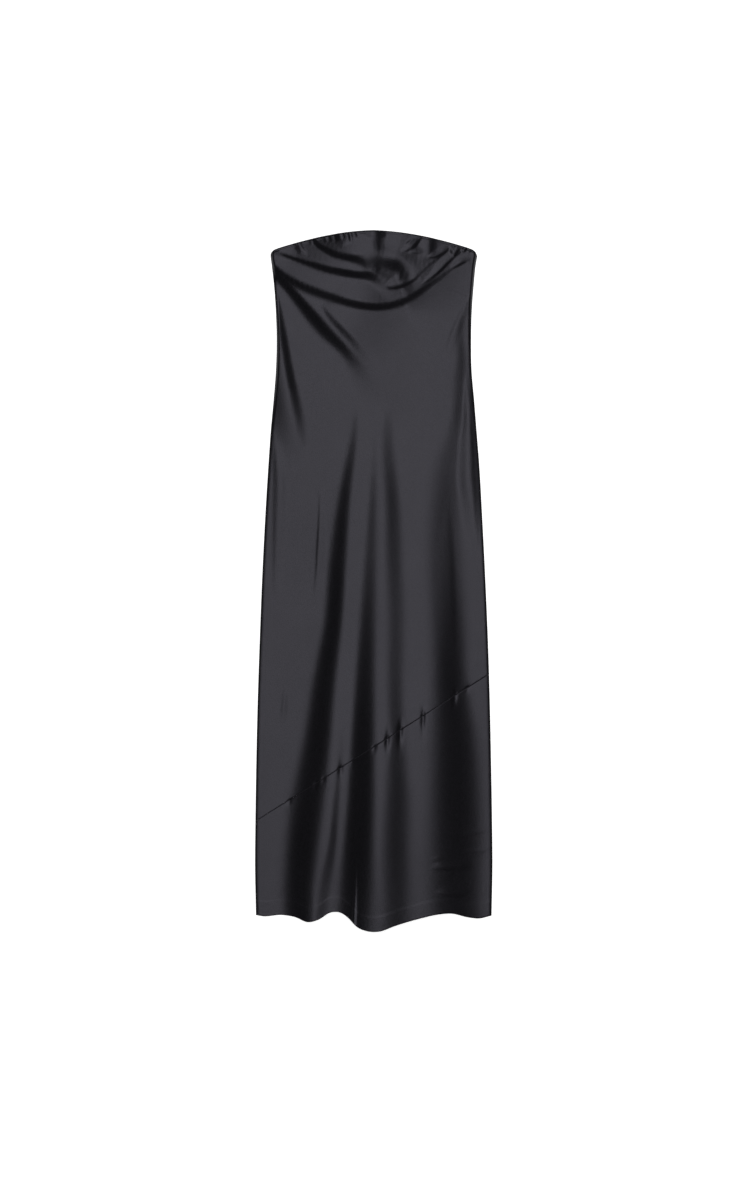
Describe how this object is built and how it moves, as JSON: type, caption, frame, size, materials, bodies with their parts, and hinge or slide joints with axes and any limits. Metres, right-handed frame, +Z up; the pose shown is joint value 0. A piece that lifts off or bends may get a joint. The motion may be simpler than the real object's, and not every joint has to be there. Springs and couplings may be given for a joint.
{
  "type": "strapless maxi dress, laid flat",
  "caption": "Bias-cut strapless satin maxi dress laid flat on its back, with cowl folds at the neckline and a diagonal seam above the hem.",
  "frame": {"origin": "centre of the bounding box in plan, on the surface that the dress lies on", "axes": "+X to the right as seen from above, +Y from the hem to the neckline, +Z up from the surface, out of the front"},
  "size_m": [0.4269, 1.2607, 0.0341],
  "materials": {
    "satin_front_upper": "charcoal satin",
    "satin_front_lower": "charcoal satin",
    "satin_back_upper": "charcoal satin",
    "satin_back_lower": "charcoal satin"
  },
  "bodies": {
    "root": {"front_upper": "satin_front_upper", "front_lower": "satin_front_lower", "back_upper": "satin_back_upper", "back_lower": "satin_back_lower"}
  },
  "joints": []
}
